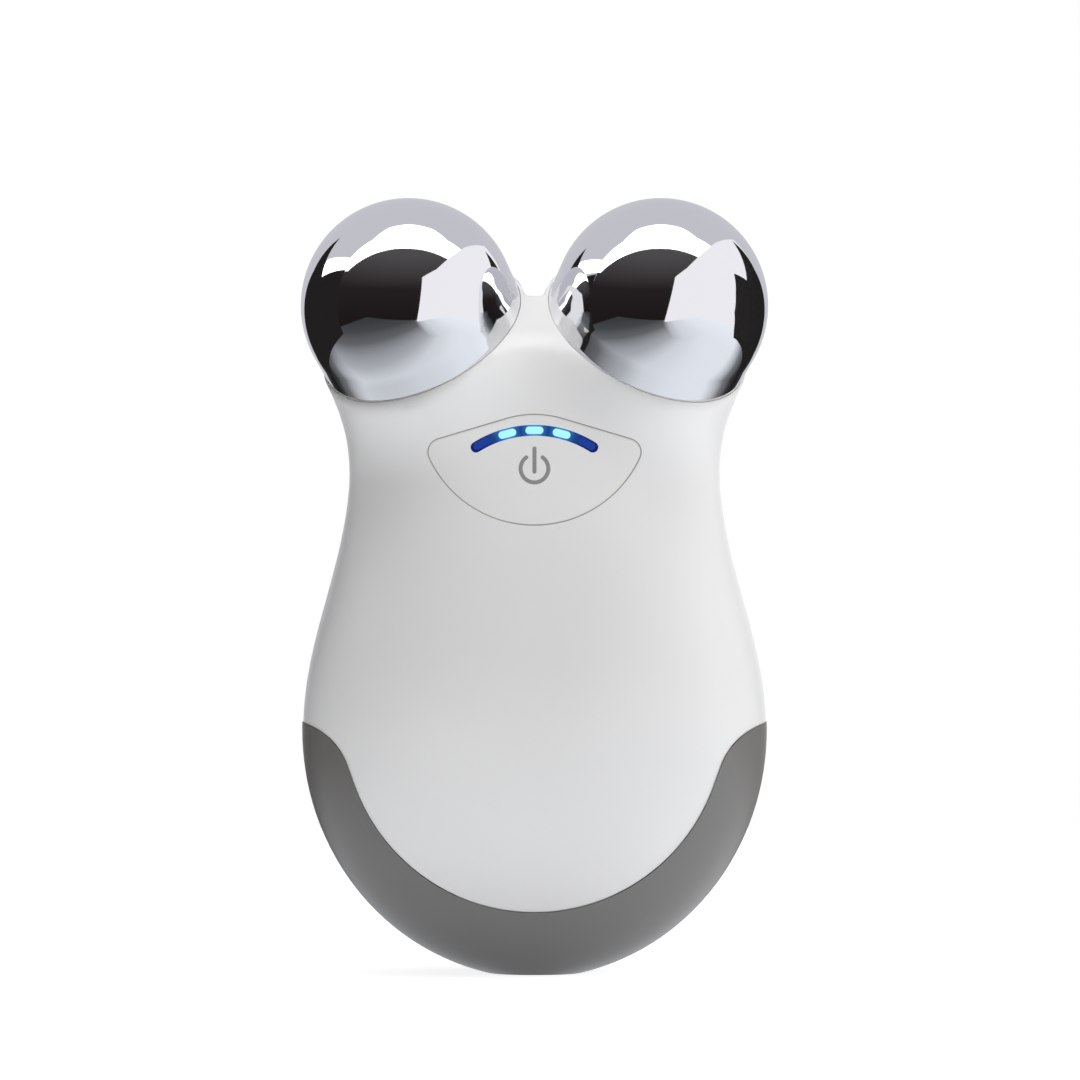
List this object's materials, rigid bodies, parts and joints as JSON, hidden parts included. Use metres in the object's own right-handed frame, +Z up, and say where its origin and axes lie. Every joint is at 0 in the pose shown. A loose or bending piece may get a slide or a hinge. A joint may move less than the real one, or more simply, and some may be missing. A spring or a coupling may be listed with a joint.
{
  "type": "facial toning device",
  "caption": "Hand-held facial toning device with two chrome contact balls in a glossy white waisted housing, a matte lens-shaped key with a blue light bar, and a grey grip.",
  "frame": {"origin": "on the standing surface, under the middle of the device", "axes": "+Z up through the waist towards the balls, -Y out of the key, +X to the right seen from the front"},
  "size_m": [0.0652, 0.044, 0.1083],
  "materials": {
    "chrome_ball": "mirror polished",
    "white_shell": "gloss",
    "key_white": "fine matte",
    "symbol_grey": "matte",
    "light_blue": "lit, gloss",
    "grip_grey": "soft-touch matte",
    "foot_rubber": "matte",
    "seal_rubber": "matte",
    "inner_plastic": "matte",
    "black_plastic": "matte",
    "plug_brass": "turned",
    "steel": "zinc plated",
    "board_green": "solder mask",
    "copper_core": "varnished",
    "led_cream": "gloss",
    "capacitor_can": "bright",
    "battery_foil": "satin foil",
    "foam": "open-cell",
    "lead_red": "satin",
    "lead_black": "satin",
    "lead_white": "satin"
  },
  "bodies": {
    "housing": {"front_shell": "white_shell", "rear_shell": "white_shell", "base_grip": "grip_grey", "foot_pad": "foot_rubber", "ball_left": "chrome_ball", "ball_right": "chrome_ball", "ball_plug_left": "plug_brass", "ball_plug_right": "plug_brass", "ball_gasket_left": "seal_rubber", "ball_gasket_right": "seal_rubber", "ring_terminals": "steel", "stud_nuts": "steel", "ball_leads": "lead_white", "key_retainer": "inner_plastic", "circuit_board": "board_green", "board_screws": "steel", "tact_switch": "black_plastic", "leds": "led_cream", "light_shield": "inner_plastic", "microcontroller": "black_plastic", "pulse_transformer": "copper_core", "capacitors": "capacitor_can", "beeper": "black_plastic", "battery_connector": "inner_plastic", "battery": "battery_foil", "battery_pad": "foam", "battery_leads": "lead_red", "charge_jack": "black_plastic", "jack_pin": "steel", "jack_nut": "steel", "jack_leads": "lead_black", "housing_screws": "steel", "base_screws": "steel"},
    "key": {"key_plate": "key_white", "light_bar": "light_blue", "power_symbol": "symbol_grey"},
    "plunger": {"switch_plunger": "inner_plastic"}
  },
  "joints": [
    {"name": "key_press", "type": "slide", "parent": "housing", "child": "key", "axis": [0, 1, 0], "range_m": [0, 0.0003], "stiffness_N_per_m": 1500},
    {"name": "plunger_press", "type": "slide", "parent": "housing", "child": "plunger", "axis": [0, 1, 0], "range_m": [0, 0.0003]}
  ],
  "couplings": [
    {"joint": "plunger_press", "follows": "key_press", "ratio": 1}
  ]
}
